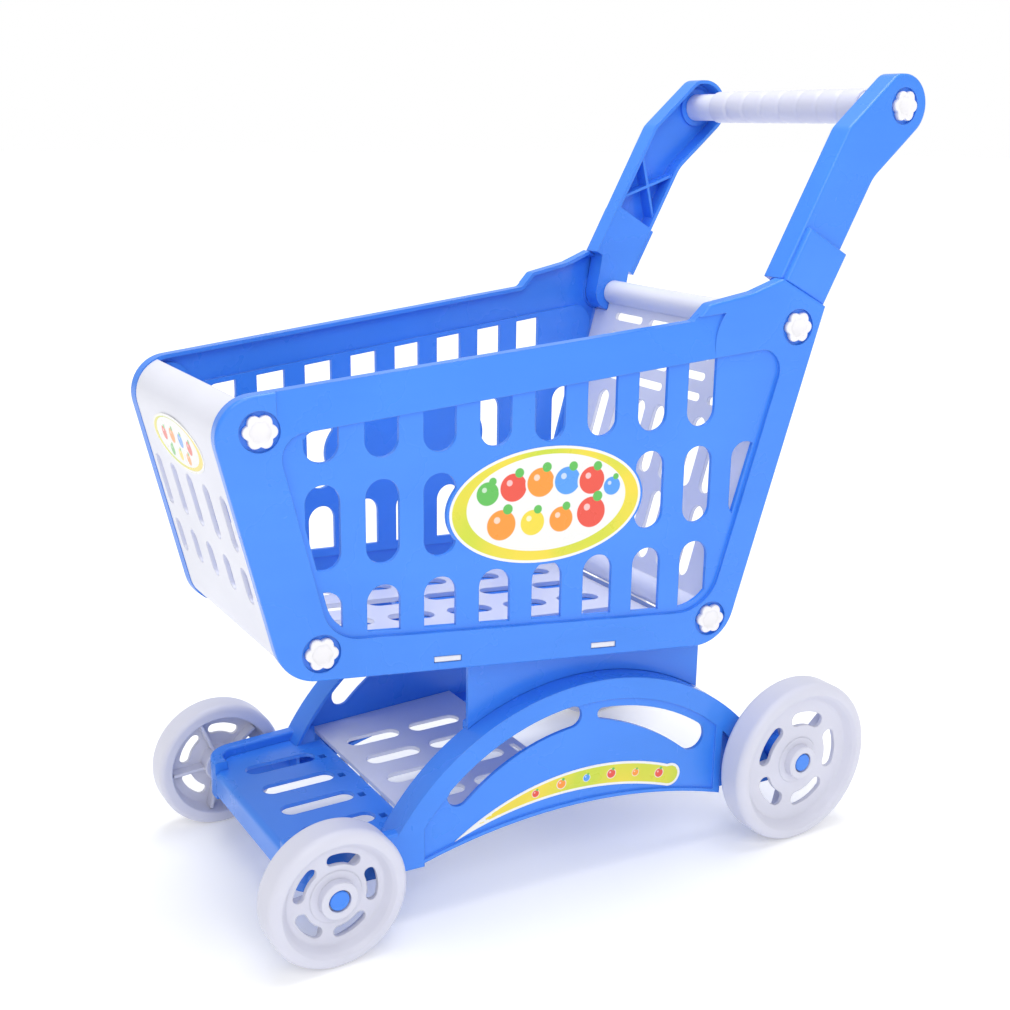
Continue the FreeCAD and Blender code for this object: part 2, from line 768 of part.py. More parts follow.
# ---------------------------------------------------------------- wheels and pins
def wheel(radius, slot_height):
    """A dished wheel about the X axis, with its outboard face at x = 0."""
    rim_r = radius - tyre_depth
    bore = pin_r + running_gap
    sink = -1.0 - pin_head - 2 * end_play
    pocket = pin_head_r + 0.8
    back = -wheel_dish - wheel_web
    section = rounded([
        (-wheel_width, bore, 0), (sink, bore, 0), (sink, pocket, 0), (-1.0, pocket, 0.4),
        (-1.0, wheel_hub_r, 0.8), (-wheel_dish + wheel_ring, wheel_hub_r, 0),
        (-wheel_dish + wheel_ring, wheel_ring_r, 0.3), (-wheel_dish, wheel_ring_r, 0.3),
        (-wheel_dish, rim_r - 3.0, 2.0),
        (-2.2, rim_r, 1.5), (-0.0, rim_r + 2.0, 1.0), (0.0, radius, tyre_edge_r),
        (-wheel_width, radius, tyre_edge_r * 0.7), (-wheel_width, rim_r + 1.0, 1.0),
        (back, rim_r - 1.0, 1.0), (back, wheel_hub_r, 1.0), (-wheel_width, wheel_hub_r, 0.8)],
        front_point)
    turned = section.revolve(ORIGIN, X, 360)
    middle = (wheel_ring_r + rim_r - 3.0) / 2
    outer_r = middle + slot_height / 2
    inner_r = middle - slot_height / 2
    rib_run = rim_r - wheel_hub_r
    ribs = []
    slots = []
    for i in range(wheel_slot_count):
        angle = 360.0 / wheel_slot_count * i + wheel_slot_turn
        rib = Part.makeBox(-back + wheel_width - 3.0 + 2 * back + 1.0, wheel_rib, rib_run,
                           FreeCAD.Vector(-wheel_width + 3.0, -wheel_rib / 2, wheel_hub_r - 0.5))
        rib.rotate(ORIGIN, X, angle + 180.0 / wheel_slot_count)
        ribs.append(rib)
        face = ring_slot(0, 0, outer_r, (inner_r, inner_r, inner_r),
                         (90 - wheel_slot_half_angle, 90 + wheel_slot_half_angle))
        slot = slab(face, -wheel_width, 0.0)
        slot.rotate(ORIGIN, X, angle)
        slots.append(slot)
    return cut(fuse([turned] + ribs), slots).removeSplitter()


def axle_pin():
    """A headed pin along X for a wheel whose outboard face is at x = 0."""
    head_back = -1.0 - pin_head - end_play
    head = rod(pin_head_r, head_back, head_back + pin_head)
    rim = [e for e in head.Edges if all(abs(v.X - head_back - pin_head) < 1e-6 for v in e.Vertexes)]
    head = head.makeFillet(0.8, rim)
    return fuse([head, rod(pin_r, -pin_grip, head_back + 0.5)])


def at_axle(shape, front):
    """Moves a wheel part to the left end of the front or rear axle."""
    moved = shape.copy()
    if front:
        moved.translate(FreeCAD.Vector(front_track_half, 0, front_wheel_r))
    else:
        moved.translate(FreeCAD.Vector(rear_track_half, wheelbase, rear_wheel_r))
    return moved


# ---------------------------------------------------------------- chassis
def arc_circle(start, end, rise):
    """The circle through two side-view points that rises above the middle of their chord."""
    middle = ((start[0] + end[0]) / 2, (start[1] + end[1]) / 2 + rise)
    circle = Part.Arc(side_point(*start), side_point(*middle), side_point(*end)).toShape().Curve
    return circle.Center.y, circle.Center.z, circle.Radius


arch_y, arch_z, arch_r = arc_circle(
    (arch_front_y, rail_top_z), (wheelbase - arch_rear_gap, rear_wheel_r), arch_rise)
under_y, under_z, under_r = arc_circle(
    (under_arch_front_y, chassis_base_z), (wheelbase - under_arch_rear_gap, chassis_base_z),
    under_arch_rise)
chassis_slope = math.tan(math.radians(chassis_taper))


def arch_block(top, base, start, low, high, lug=0.0):
    """The arched side, drawn in by its top, base and front, between two depths."""
    block = rod(arch_r - top, low, high, arch_y, arch_z)
    room = rounded([(start, chassis_base_z + base, 0), (FAR, chassis_base_z + base, 0),
                    (FAR, FAR, 0), (start, FAR, 0)], side_point)
    block = block.common(slab(room, low, high))
    block = block.cut(rod(under_r + base, low, high, under_y, under_z))
    if lug > 0:
        block = block.fuse(rod(lug, low, high, wheelbase, rear_wheel_r))
    return block.removeSplitter()


def nose_face(inset, end_y):
    """The chassis seen from above, in front of a line across it, drawn in from its edge."""
    half = chassis_half - inset / math.cos(math.radians(chassis_taper))
    front = inset - nose_y
    wide = half + chassis_slope * end_y
    narrow = half + chassis_slope * front
    corner = nose_corner_r - inset
    return rounded([(-wide, end_y, 0), (-narrow, front, corner), (narrow, front, corner),
                    (wide, end_y, 0)], plan_point)


def side_rail():
    """The rail of the left chassis side, which wraps round the front corner of the deck."""
    ring = nose_face(0.0, deck_end_y).cut(nose_face(rail_width, deck_end_y))
    inside = nose_face(rail_wall, deck_end_y + 1).cut(nose_face(rail_width - rail_wall, deck_end_y + 1))
    inside_low = Part.makeBox(FAR, 2 * FAR, FAR, FreeCAD.Vector(apron_half + rail_wall, -FAR, 0))
    rail = slab(ring, chassis_base_z, rail_top_z, Z)
    top_edges = [e for e in rail.Edges if all(abs(v.Z - rail_top_z) < 1e-6 for v in e.Vertexes)
                 and max(v.Y for v in e.Vertexes) < deck_end_y + 1 and e.Length > rail_width + 1.0]
    rail = rail.makeFillet(1.8, top_edges)
    rail = rail.cut(slab(inside, 0.0, rail_top_z - rail_wall, Z).common(inside_low))
    keep = Part.makeBox(FAR, 2 * FAR, FAR, FreeCAD.Vector(apron_half, -FAR, 0))
    return rail.common(keep)


def chassis_side():
    front = arch_wall_y
    outer = arch_block(0.0, 0.0, front, -chassis_depth, 0.0)
    inner = arch_block(chassis_flange, chassis_flange, front + chassis_flange,
                       -chassis_depth - 1.0, -chassis_skin)
    shell = outer.cut(inner)
    pocket_start = wheelbase - under_arch_rear_gap
    pocket = arch_block(arch_band, -1.0, pocket_start, -wheel_pocket, 1.0)
    pocket_wall = arch_block(arch_band - chassis_flange, 0.0, pocket_start - chassis_flange,
                             -wheel_pocket - chassis_flange, -0.0)
    pocket_wall = pocket_wall.common(outer)
    field = arch_block(arch_band, arch_field_base, arch_front_y + 8.0, -arch_recess, 1.0)
    field = field.common(slab(rounded([
        (0, 0, 0), (pocket_start - 5.0, 0, 0), (pocket_start - 5.0, FAR, 0), (0, FAR, 0)],
        side_point), -FAR, FAR))
    lug = rod(axle_lug_r, -chassis_depth, -wheel_pocket, wheelbase, rear_wheel_r)
    lug_hollow = rod(axle_lug_r - chassis_flange, -chassis_depth - 1.0, -wheel_pocket - chassis_flange,
                     wheelbase, rear_wheel_r)
    arc_out = arch_r - arc_slot_drop
    arc_in = arc_out - arc_slot_width
    slot = ring_slot(arch_y, arch_z, arc_out, (arc_in, arc_in, arc_in), arc_slot_angles)
    fin_out = arch_r - fin_drop
    fin = ring_slot(arch_y, arch_z, fin_out, [fin_out - d for d in fin_depths], fin_angles)
    windows = [slab(f, -chassis_skin - 1.0, 1.0) for f in (slot, fin)]
    body = fuse([shell, pocket_wall, lug])
    body = cut(body, [pocket, field, lug_hollow] + windows)
    body = place(body, chassis_half, chassis_taper)
    front_end = front_track_half - wheel_width - boss_gap
    rear_end = rear_track_half - wheel_width - boss_gap
    bosses = [rod(front_boss_r, front_end - front_boss_length, front_end, 0, front_wheel_r),
              rod(axle_boss_r, rear_end - rear_boss_length, rear_end, wheelbase, rear_wheel_r)]
    rail = side_rail()
    body = fuse([body, rail] + bosses)
    bores = [at_axle(rod(pin_r + seat_gap, -FAR, 0), front) for front in (True, False)]
    return cut(body, bores).removeSplitter()


def front_deck():
    end_y = deck_end_y - fit_gap
    low = deck_top_z - deck_plate
    plate = slab(nose_face(rail_width + fit_gap, end_y), low, deck_top_z, Z)
    block = slab(nose_face(0.0, end_y), chassis_base_z + 3.0, deck_top_z, Z)
    keep = Part.makeBox(2 * (apron_half - fit_gap), rail_width + fit_gap + 4.0, FAR,
                        FreeCAD.Vector(-apron_half + fit_gap, -nose_y, 0))
    block = block.common(keep)
    lip = [e for e in block.Edges if all(abs(v.Z - deck_top_z) < 1e-6 and abs(v.Y + nose_y) < 1e-3
                                         for v in e.Vertexes)]
    block = block.makeFillet(4.0, lip)
    hollow = Part.makeBox(4 * apron_half, FAR, low - 1.6,
                          FreeCAD.Vector(-2 * apron_half, deck_plate - nose_y, 0))
    deck = fuse([plate, block.cut(hollow)])
    behind = slab(rounded([(arch_wall_y - fit_gap, 0, 0), (FAR, 0, 0), (FAR, FAR, 0),
                           (arch_wall_y - fit_gap, FAR, 0)], side_point), -chassis_depth - fit_gap, FAR)
    openings = both_sides(place(behind, chassis_half, chassis_taper))
    for x in deck_slot_x:
        face = stadium(x, deck_slot_y[0], deck_slot_y[1], deck_slot_width, plan_point)
        openings.append(slab(face, 0.0, FAR, Z))
        pocket = Part.makeBox(hook_hole[0], hook_hole[1], FAR,
                              FreeCAD.Vector(x + 1.0, deck_slot_y[1] + 2.0, low - hook_socket_depth))
        openings.append(pocket)
        socket = Part.makeBox(hook_hole[0] + 2 * hook_socket_wall, hook_hole[1] + 2 * hook_socket_wall,
                              hook_socket_depth + hook_socket_wall + 0.5,
                              FreeCAD.Vector(x + 1.0 - hook_socket_wall,
                                             deck_slot_y[1] + 2.0 - hook_socket_wall,
                                             low - hook_socket_depth - hook_socket_wall))
        deck = deck.fuse(socket)
    return cut(deck, openings).removeSplitter()


def lower_tray():
    start = deck_end_y + fit_gap
    room = inner_space(chassis_half, chassis_taper, chassis_skin + side_gap)
    plate = Part.makeBox(2 * FAR, tray_end_y - start, tray_plate, FreeCAD.Vector(-FAR, start, tray_z))
    plate = plate.common(room)
    clip_top = deck_top_z - deck_plate - fit_gap
    clips = []
    openings = []
    for x in deck_slot_x:
        low = clip_top - tray_clip[2]
        clips.append(Part.makeBox(tray_clip[0], tray_clip[1] + 2.0, tray_clip[2],
                                  FreeCAD.Vector(x + 10.0, start - tray_clip[1], low)))
        clips.append(Part.makeBox(tray_clip[0], 2.0, tray_z - low + 0.5,
                                  FreeCAD.Vector(x + 10.0, start, low)))
        for low, high in tray_slot_y:
            openings.append(slab(stadium(x, low, high, deck_slot_width, plan_point), 0.0, FAR, Z))
        openings.append(Part.makeBox(tray_vent[0], tray_vent[1], FAR,
                                     FreeCAD.Vector(x - tray_vent[0] / 2, tray_end_y - 8.0, 0)))
    return cut(fuse([plate] + clips), openings).removeSplitter()


def pedestal():
    start, end = pedestal_y
    gap = floor_lift - fit_gap

    def wall_room(low, high):
        face = rounded([(start, 0, 0), (end, 0, 0), (end, base_z(end) + gap, 0),
                        (start, base_z(start) + gap, 0)], side_point)
        return slab(face, low, high)

    outer = -pedestal_inset
    inner = -chassis_depth - fit_gap - pedestal_wall
    arch = rod(arch_r + fit_gap, -FAR, FAR, arch_y, arch_z)
    foot_cut = rod(arch_r + fit_gap + pedestal_wall, -FAR, FAR, arch_y, arch_z)
    skirt_cut = rod(arch_r - pedestal_skirt, -FAR, FAR, arch_y, arch_z)
    wall = wall_room(outer - pedestal_wall, outer).cut(arch)
    foot = wall_room(inner, outer).cut(arch).common(foot_cut)
    skirt = wall_room(inner, inner + pedestal_wall).cut(skirt_cut).common(foot_cut)
    sides = both_sides(place(fuse([wall, foot, skirt]), chassis_half, chassis_taper))
    top = slab(rounded([(start, base_z(start) + gap - pedestal_wall, 0),
                        (end, base_z(end) + gap - pedestal_wall, 0),
                        (end, base_z(end) + gap, 0), (start, base_z(start) + gap, 0)],
                       side_point), -FAR, FAR)
    turn = math.cos(math.radians(chassis_taper))
    top = top.common(inner_space(chassis_half, chassis_taper, pedestal_inset + 0.5))
    keep = Part.makeBox(2 * FAR, (end - start) * turn - 1.0, FAR,
                        FreeCAD.Vector(-FAR, start * turn + 0.5, 0))
    return fuse(sides + [top.common(keep)])


# ---------------------------------------------------------------- labels
def side_label():
    face = ellipse_face(badge_y, badge_z, badge_half_length, badge_half_height)
    solid = slab(face, -field_depth + seat_gap, -field_depth + seat_gap + label)
    return place(solid, basket_half, basket_taper)


def front_label():
    oval = Part.Ellipse(front_point(front_badge_half_length, 0), front_point(0, front_badge_half_height),
                        ORIGIN)
    solid = slab(Part.Face(Part.Wire(oval.toShape())), -label, 0.0, Y)
    solid.rotate(ORIGIN, X, math.degrees(math.atan(front_lean)))
    face_y = front_y(front_badge_z) + panel_inset / math.cos(math.atan(front_lean)) - seat_gap
    solid.translate(side_point(face_y, front_badge_z))
    return solid


def arch_label():
    face = arcs_face(crescent_points, side_point)
    solid = slab(face, -arch_recess + seat_gap, -arch_recess + seat_gap + label)
    return place(solid, chassis_half, chassis_taper)


# ---------------------------------------------------------------- the whole cart
def build_nodes():
    nodes = {
        "front_panel": front_panel(),
        "back_panel": back_panel(),
        "basket_floor": basket_floor(),
        "handle_bar": handle_bar(),
        "handle_grip": handle_grip(),
        "handle_screws": handle_screws(),
        "front_top_screws": corner_screw("front_top", 20.0),
        "front_bottom_screws": corner_screw("front_bottom", 20.0),
        "rear_top_screws": corner_screw("rear_top", 32.0),
        "rear_bottom_screws": corner_screw("rear_bottom", 20.0),
        "pedestal": pedestal(),
        "front_deck": front_deck(),
        "lower_tray": lower_tray(),
        "front_label": front_label()}
    pairs = {
        "side_panel": side_panel(),
        "handle_arm": handle_arm(),
        "chassis_side": chassis_side(),
        "side_label": side_label(),
        "arch_label": arch_label(),
        "front_axle_pin": at_axle(axle_pin(), True),
        "rear_axle_pin": at_axle(axle_pin(), False),
        "front_wheel": at_axle(wheel(front_wheel_r, front_wheel_slot), True),
        "rear_wheel": at_axle(wheel(rear_wheel_r, rear_wheel_slot), False)}
    for name, shape in pairs.items():
        nodes[name + "_left"] = shape
        nodes[name + "_right"] = mirrored(shape)
    return nodes


def centre_shift(nodes):
    """How far the cart moves so that its middle is over the origin."""
    box = Part.makeCompound(list(nodes.values())).optimalBoundingBox(False)
    return side_point(-(box.YMin + box.YMax) / 2, 0)


os.makedirs("parts", exist_ok=True)
cart = build_nodes()
shift = centre_shift(cart)
for node, shape in cart.items():
    shape.translate(shift)
    shape.exportStep("parts/" + node + ".step")
    print(node, len(shape.Solids), shape.isValid(), round(shape.Volume / 1000.0, 2))
print("shift", shift)
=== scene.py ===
import json
import math

import bmesh
import bpy
from mathutils import Matrix, Vector
from mathutils.kdtree import KDTree


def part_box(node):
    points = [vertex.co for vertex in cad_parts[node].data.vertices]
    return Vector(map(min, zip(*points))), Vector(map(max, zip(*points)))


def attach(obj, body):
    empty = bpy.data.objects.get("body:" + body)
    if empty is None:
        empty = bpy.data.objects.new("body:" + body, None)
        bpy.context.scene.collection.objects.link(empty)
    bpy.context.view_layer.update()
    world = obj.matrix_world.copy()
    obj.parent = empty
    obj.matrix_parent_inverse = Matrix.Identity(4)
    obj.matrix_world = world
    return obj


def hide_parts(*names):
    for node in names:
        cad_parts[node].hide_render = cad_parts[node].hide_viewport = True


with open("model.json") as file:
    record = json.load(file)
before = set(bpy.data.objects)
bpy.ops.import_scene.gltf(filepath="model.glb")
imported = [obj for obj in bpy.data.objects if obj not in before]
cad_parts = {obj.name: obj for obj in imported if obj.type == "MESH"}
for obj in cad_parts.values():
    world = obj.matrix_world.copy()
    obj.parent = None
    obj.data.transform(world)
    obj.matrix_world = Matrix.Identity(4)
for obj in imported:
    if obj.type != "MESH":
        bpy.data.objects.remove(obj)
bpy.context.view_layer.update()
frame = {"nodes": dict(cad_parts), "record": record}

scene = bpy.context.scene
nodes = frame["nodes"]
record = frame["record"]
FRAME_BODY = "cart_frame"

# ---------------------------------------------------------------- camera, lights and floor
CAMERA_AZIMUTH = 58.63
CAMERA_ELEVATION = 15.71
CAMERA_ROLL = 0.78
CAMERA_PLACE = (0.6733, -0.4215, 0.4321)
CAMERA_LENS = 47.85
WORLD_STRENGTH = 0.62
BACKDROP_STRENGTH = 1.0
FLOOR_SIZE = 40.0
FLOOR_GLOW = 0.16
FAR_FLOOR_GLOW = 0.50

# ---------------------------------------------------------------- sizes of the finer pieces, metres
SIDE_TAPER = math.radians(5.4)
HEAD_HEIGHT = 0.0034
SHANK_RADIUS = 0.003
LOBES = 6
LOBE_DEPTH = 0.20
STEPS_AROUND = 96
GRIP_RINGS = 7
GRIP_RING_DEPTH = 0.0008
GRIP_EDGE = 0.0012
GRIP_GROOVE_HALF = 0.0028
GROOVE_STEPS = 6
BAR_CLEARANCE = 0.00002
SCREW_CHAMFER = 0.0004
SCREW_EDGE = 0.0009
SEAT_EDGE = 0.0003
DISH_PART = 0.62
DISH_LIP = 0.0006
MERGE = 1e-6

# ---------------------------------------------------------------- stickers, metres and parts of a fruit
SHEET_STEP = 0.002
RIM_STEP = 0.0002
FLAT_ANGLE = 0.02
RIM_ANGLE = 1.0
WHITE_EDGE = 0.0015
PRINT_CRISP = 0.0002
LEAF_REACH = 0.45
LEAF_SIZE = 0.34
GLINT_REACH = 0.3
GLINT_RISE = 0.35
GLINT_SIZE = 0.22
FRUIT_BORDER = 1.14
OVAL_PART = 0.83
OVAL_RISE = 0.04
ARCH_FRUIT_COUNT = 6
ARCH_FRUIT_START = 0.34
ARCH_FRUIT_RUN = 0.56
ARCH_FRUIT_RADIUS = 0.0022
ARCH_FRUIT_CHANGE = 0.0006
ARCH_COLUMN = 0.006

# ---------------------------------------------------------------- grain of the plastic, waves a metre
CLOUD_SCALE = 11.0
FLOW_SCALE = 60.0
FLOW_STRETCH = (0.25, 0.05, 1.0)
# Grain and strength of the edge mark, which paints a highlight along edges as well as wear from rubbing.
EDGE_HIGHLIGHT_AND_WEAR_SCALE = 45.0
EDGE_HIGHLIGHT_AND_WEAR_AMOUNT = 0.35
HAIR_SCALES = (90.0, 70.0)
HAIR_STRETCHES = ((8.0, 0.4, 8.0), (8.0, 6.0, 0.3))
HAIR_LEVELS = (0.76, 0.82)
PATCH_SCALE = 18.0
DULL_AMOUNT = 0.10
SINK_SCALE = 14.0
SKIN_SCALE = 850.0

# ---------------------------------------------------------------- colours
BLUE = (0.042, 0.242, 0.88)
WHITE = (0.77, 0.78, 0.87)
GRIP_WHITE = (0.66, 0.67, 0.80)
WHEEL_WHITE = (0.68, 0.685, 0.79)
SCREW_WHITE = (0.86, 0.85, 0.88)
PRINT_WHITE = (0.86, 0.86, 0.84)
LIME = (0.58, 0.68, 0.03)
YELLOW = (0.85, 0.68, 0.04)
RED = (0.80, 0.07, 0.04)
ORANGE = (0.95, 0.30, 0.02)
SKY = (0.07, 0.32, 0.85)
LEAF = (0.10, 0.50, 0.08)


def make_camera():
    data = bpy.data.cameras.new("studio_camera")
    data.lens = CAMERA_LENS
    data.sensor_width = 36.0
    data.clip_start = 0.01
    data.clip_end = 60.0
    camera = bpy.data.objects.new("studio_camera", data)
    scene.collection.objects.link(camera)
    azimuth, elevation, roll = [math.radians(a) for a in (CAMERA_AZIMUTH, CAMERA_ELEVATION, CAMERA_ROLL)]
    back = Vector((math.sin(azimuth) * math.cos(elevation), -math.cos(azimuth) * math.cos(elevation),
                   math.sin(elevation)))
    right = (-back).cross(Vector((0, 0, 1))).normalized()
    up = right.cross(-back)
    turned_right = right * math.cos(roll) + up * math.sin(roll)
    turned_up = up * math.cos(roll) - right * math.sin(roll)
    rotation = Matrix((turned_right, turned_up, back)).transposed()
    camera.matrix_world = Matrix.Translation(CAMERA_PLACE) @ rotation.to_4x4()
    scene.camera = camera


def area_light(name, place, target, size, power):
    data = bpy.data.lights.new(name, "AREA")
    data.shape = "RECTANGLE"
    data.size, data.size_y = size
    data.energy = power
    light = bpy.data.objects.new(name, data)
    light.location = place
    aim = Vector(target) - Vector(place)
    light.rotation_euler = aim.to_track_quat("-Z", "Y").to_euler()
    scene.collection.objects.link(light)


def make_studio():
    world = bpy.data.worlds.new("studio")
    scene.world = world
    world.use_nodes = True
    tree = world.node_tree
    background = tree.nodes["Background"]
    background.inputs["Color"].default_value = (1.0, 1.0, 1.0, 1.0)
    seen = put(tree, "ShaderNodeLightPath").outputs["Is Camera Ray"]
    feed(tree, background.inputs["Strength"],
         spread(tree, seen, 0.0, 1.0, WORLD_STRENGTH, BACKDROP_STRENGTH))
    area_light("key", (1.3, -0.5, 1.3), (0, 0, 0.2), (0.9, 0.9), 7.5)
    area_light("top", (-0.1, 0.1, 1.8), (0, 0, 0.1), (1.2, 1.2), 17.0)
    bpy.ops.mesh.primitive_plane_add(size=FLOOR_SIZE)
    floor = bpy.context.object
    floor.name = "studio_floor"
    paint = bpy.data.materials.new("pale_floor")
    paint.use_nodes = True
    shader = paint.node_tree.nodes["Principled BSDF"]
    shader.inputs["Base Color"].default_value = (0.95, 0.95, 0.95, 1.0)
    shader.inputs["Roughness"].default_value = 0.8
    shader.inputs["Specular IOR Level"].default_value = 0.1
    shader.inputs["Emission Color"].default_value = (1.0, 1.0, 1.0, 1.0)
    far = put(paint.node_tree, "ShaderNodeVectorMath", operation="LENGTH")
    feed(paint.node_tree, far.inputs[0], put(paint.node_tree, "ShaderNodeTexCoord").outputs["Object"])
    feed(paint.node_tree, shader.inputs["Emission Strength"],
         spread(paint.node_tree, far.outputs["Value"], 0.4, 1.6, FLOOR_GLOW, FAR_FLOOR_GLOW))
    floor.data.materials.append(paint)
    scene.view_settings.view_transform = "Standard"


# ---------------------------------------------------------------- node helpers
def put(tree, kind, **settings):
    made = tree.nodes.new(kind)
    for key, value in settings.items():
        setattr(made, key, value)
    return made


def feed(tree, socket, value):
    """Links a socket to another node's output, or sets it to a plain value."""
    if isinstance(value, bpy.types.NodeSocket):
        tree.links.new(value, socket)
    else:
        socket.default_value = value


def calc(tree, operation, *values, clamp=False):
    made = put(tree, "ShaderNodeMath", operation=operation, use_clamp=clamp)
    for socket, value in zip(made.inputs, values):
        feed(tree, socket, value)
    return made.outputs[0]


def spread(tree, value, low, high, to_low=0.0, to_high=1.0):
    """A value carried from one range to another, held inside the second."""
    made = put(tree, "ShaderNodeMapRange", clamp=True)
    for name, given in (("Value", value), ("From Min", low), ("From Max", high),
                        ("To Min", to_low), ("To Max", to_high)):
        feed(tree, made.inputs[name], given)
    return made.outputs["Result"]


def blend_colour(tree, amount, under, over):
    made = put(tree, "ShaderNodeMix", data_type="RGBA")
    feed(tree, made.inputs["Factor"], amount)
    for name, given in (("A", under), ("B", over)):
        socket = [s for s in made.inputs if s.name == name and s.type == "RGBA"][0]
        feed(tree, socket, given if isinstance(given, bpy.types.NodeSocket) else (*given, 1.0))
    return [s for s in made.outputs if s.type == "RGBA"][0]


def grain(tree, place, scale, detail=2.0, stretch=(1, 1, 1)):
    """Noise over the piece, stretched along an axis where that axis is below 1."""
    mapping = put(tree, "ShaderNodeMapping")
    feed(tree, mapping.inputs["Vector"], place)
    mapping.inputs["Scale"].default_value = stretch
    noise = put(tree, "ShaderNodeTexNoise")
    feed(tree, noise.inputs["Vector"], mapping.outputs[0])
    noise.inputs["Scale"].default_value = scale
    noise.inputs["Detail"].default_value = detail
    return noise.outputs["Fac"]


def raised(tree, height, distance, strength, normal):
    bump = put(tree, "ShaderNodeBump")
    feed(tree, bump.inputs["Height"], height)
    bump.inputs["Distance"].default_value = distance
    bump.inputs["Strength"].default_value = strength
    if normal is not None:
        feed(tree, bump.inputs["Normal"], normal)
    return bump.outputs["Normal"]


# ---------------------------------------------------------------- materials
def moulded_plastic(name, colour, roughness, soften=0.0008, mottle=0.05, scuff=0.12, peel=0.35,
                    depth_glow=0.05):
    """Injection-moulded plastic: cloudy pigment, flow lines, a fine textured skin, hairline scratches, and
    edges made duller by wear and painted paler, partly as wear and partly as a painted highlight."""
    paint = bpy.data.materials.new(name)
    paint.use_nodes = True
    tree = paint.node_tree
    shader = tree.nodes["Principled BSDF"]
    place = put(tree, "ShaderNodeTexCoord").outputs["Object"]

    cloud = grain(tree, place, CLOUD_SCALE, 3.0)
    flow = grain(tree, place, FLOW_SCALE, 4.0, FLOW_STRETCH)
    darker = tuple(c * (1 - mottle) for c in colour)
    paler = tuple(min(1.0, c * (1 + mottle) + mottle * 0.12) for c in colour)
    tone = calc(tree, "ADD", calc(tree, "MULTIPLY", cloud, 0.7), calc(tree, "MULTIPLY", flow, 0.3))
    base = blend_colour(tree, spread(tree, tone, 0.35, 0.65), darker, paler)

    soft_edge = put(tree, "ShaderNodeBevel", samples=4)
    soft_edge.inputs["Radius"].default_value = soften
    true_normal = put(tree, "ShaderNodeNewGeometry").outputs["Normal"]
    agree = put(tree, "ShaderNodeVectorMath", operation="DOT_PRODUCT")
    feed(tree, agree.inputs[0], soft_edge.outputs["Normal"])
    feed(tree, agree.inputs[1], true_normal)
    edge = spread(tree, agree.outputs["Value"], 0.99, 0.80)
    # Painted highlight along every edge the bevel finds, mixed with wear from rubbing: the colour there is
    # blended towards a paler tone.
    lit_and_rubbed_edge = calc(tree, "MULTIPLY", edge, spread(tree, grain(tree, place, EDGE_HIGHLIGHT_AND_WEAR_SCALE, 3.0), 0.4, 0.65))
    highlight_and_wear_colour = tuple(c * 0.75 + 0.25 for c in colour)
    feed(tree, shader.inputs["Base Color"],
         blend_colour(tree, calc(tree, "MULTIPLY", lit_and_rubbed_edge, EDGE_HIGHLIGHT_AND_WEAR_AMOUNT), base, highlight_and_wear_colour))

    hairs = calc(tree, "MAXIMUM",
                 *[spread(tree, grain(tree, place, scale, 2.0, stretch), *HAIR_LEVELS)
                   for scale, stretch in zip(HAIR_SCALES, HAIR_STRETCHES)])
    patch = spread(tree, grain(tree, place, PATCH_SCALE, 4.0), 0.35, 0.70)
    dull = calc(tree, "ADD", calc(tree, "MULTIPLY", patch, scuff),
                calc(tree, "MULTIPLY", calc(tree, "MAXIMUM", hairs, lit_and_rubbed_edge), DULL_AMOUNT))
    feed(tree, shader.inputs["Roughness"], calc(tree, "ADD", dull, roughness, clamp=True))

    normal = raised(tree, grain(tree, place, SINK_SCALE, 1.0), 0.0006, 0.12, soft_edge.outputs["Normal"])
    normal = raised(tree, grain(tree, place, SKIN_SCALE, 2.0), 0.00005, peel, normal)
    normal = raised(tree, calc(tree, "SUBTRACT", 1.0, hairs), 0.00002, 0.12, normal)
    feed(tree, shader.inputs["Normal"], normal)
    shader.inputs["IOR"].default_value = 1.49
    shader.inputs["Coat Weight"].default_value = 0.12
    shader.inputs["Coat Roughness"].default_value = 0.18
    shader.inputs["Subsurface Weight"].default_value = depth_glow
    shader.inputs["Subsurface Radius"].default_value = (1.0, 1.0, 1.0)
    shader.inputs["Subsurface Scale"].default_value = 0.002
    return paint


def flat_place(tree, across):
    """The place on a sheet, with the depth axis left out."""
    place = put(tree, "ShaderNodeTexCoord").outputs["Object"]
    keep = put(tree, "ShaderNodeVectorMath", operation="MULTIPLY")
    feed(tree, keep.inputs[0], place)
    keep.inputs[1].default_value = (1, 0, 1) if across == "X" else (0, 1, 1)
    return keep.outputs[0]


def disc(tree, place, centre, radius, stretch=(1, 1, 1)):
    """A printed disc or oval: 1 inside, 0 outside, with a crisp printed edge."""
    shift = put(tree, "ShaderNodeVectorMath", operation="SUBTRACT")
    feed(tree, shift.inputs[0], place)
    shift.inputs[1].default_value = centre
    scale = put(tree, "ShaderNodeVectorMath", operation="MULTIPLY")
    feed(tree, scale.inputs[0], shift.outputs[0])
    scale.inputs[1].default_value = stretch
    length = put(tree, "ShaderNodeVectorMath", operation="LENGTH")
    feed(tree, length.inputs[0], scale.outputs[0])
    return spread(tree, length.outputs["Value"], radius + PRINT_CRISP, radius - PRINT_CRISP)


def aside(centre, across, reach, rise):
    """A point beside a centre on a sheet: along it by a reach, and up by a rise."""
    x, y, z = centre
    return (x + reach, y, z + rise) if across == "X" else (x, y + reach, z + rise)


